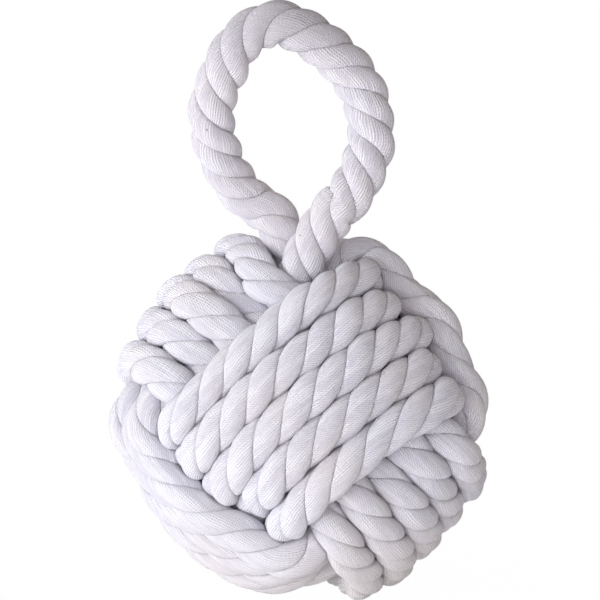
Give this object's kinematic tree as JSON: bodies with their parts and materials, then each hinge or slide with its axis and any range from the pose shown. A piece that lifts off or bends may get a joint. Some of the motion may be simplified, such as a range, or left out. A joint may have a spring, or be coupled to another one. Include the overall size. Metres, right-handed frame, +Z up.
{
  "type": "rope knot doorstop",
  "caption": "Heavy ball knot of laid cotton rope round a bag of sand, with a standing loop of thicker rope to lift or drag it by; it holds a door open.",
  "frame": {"origin": "centre of the footprint, on the floor that the ball knot stands on", "axes": "+Z up through the handle loop, +X to the right and -Y towards the viewer of the picture; the loop lies across Y"},
  "size_m": [0.1538, 0.15, 0.2407],
  "materials": {
    "cotton_rope": "soft undyed cotton, laid in three strands",
    "cotton_twine": "waxed cotton twine",
    "calico_bag": "plain woven cotton",
    "dry_sand": "loose dry sand"
  },
  "bodies": {
    "root": {"knot_rope": "cotton_rope", "handle_rope": "cotton_rope", "handle_seizing": "cotton_twine", "rope_start_whipping": "cotton_twine", "rope_finish_whipping": "cotton_twine", "sand_bag": "calico_bag", "bag_tie": "cotton_twine", "sand_fill": "dry_sand"}
  },
  "joints": []
}
